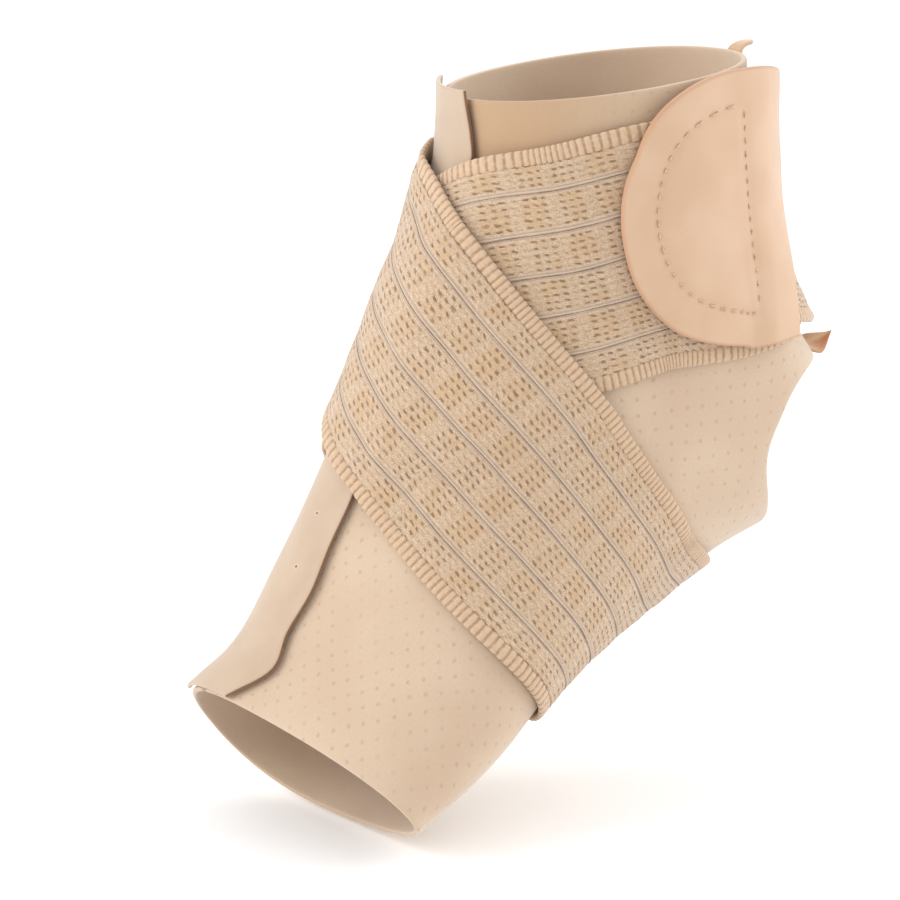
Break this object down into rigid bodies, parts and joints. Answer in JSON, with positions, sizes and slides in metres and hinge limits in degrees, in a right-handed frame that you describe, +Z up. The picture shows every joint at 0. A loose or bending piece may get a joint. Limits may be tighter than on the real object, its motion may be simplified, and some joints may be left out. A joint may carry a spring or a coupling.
{
  "type": "ankle brace",
  "caption": "Open-toe, open-heel ankle brace in its worn form, with a closing flap on the instep and an elastic strap wound in a figure of eight to a hook tab.",
  "frame": {"origin": "middle of the ankle, inside the hollow of the brace, where the ankle holds it", "axes": "+Z up along the leg, -X towards the toes and +X towards the heel, -Y towards the outer side of a left foot"},
  "size_m": [0.1823, 0.0862, 0.1948],
  "materials": {
    "sleeve_cloth": "matte beige foam-backed cloth with a fine grid of small dimples",
    "flap_cloth": "plain smooth matte beige cloth",
    "seam_cloth": "doubled beige cloth with a raw edge",
    "knitted_elastic": "open sandy knitted elastic with ribbed edges and lengthwise rubber threads",
    "tab_cover": "smooth peach-beige cover with a soft edge and a stitched half round"
  },
  "bodies": {
    "root": {"sleeve": "sleeve_cloth", "closure_flap": "flap_cloth", "back_seam": "seam_cloth", "elastic_strap": "knitted_elastic", "hook_tab": "tab_cover"}
  },
  "joints": []
}
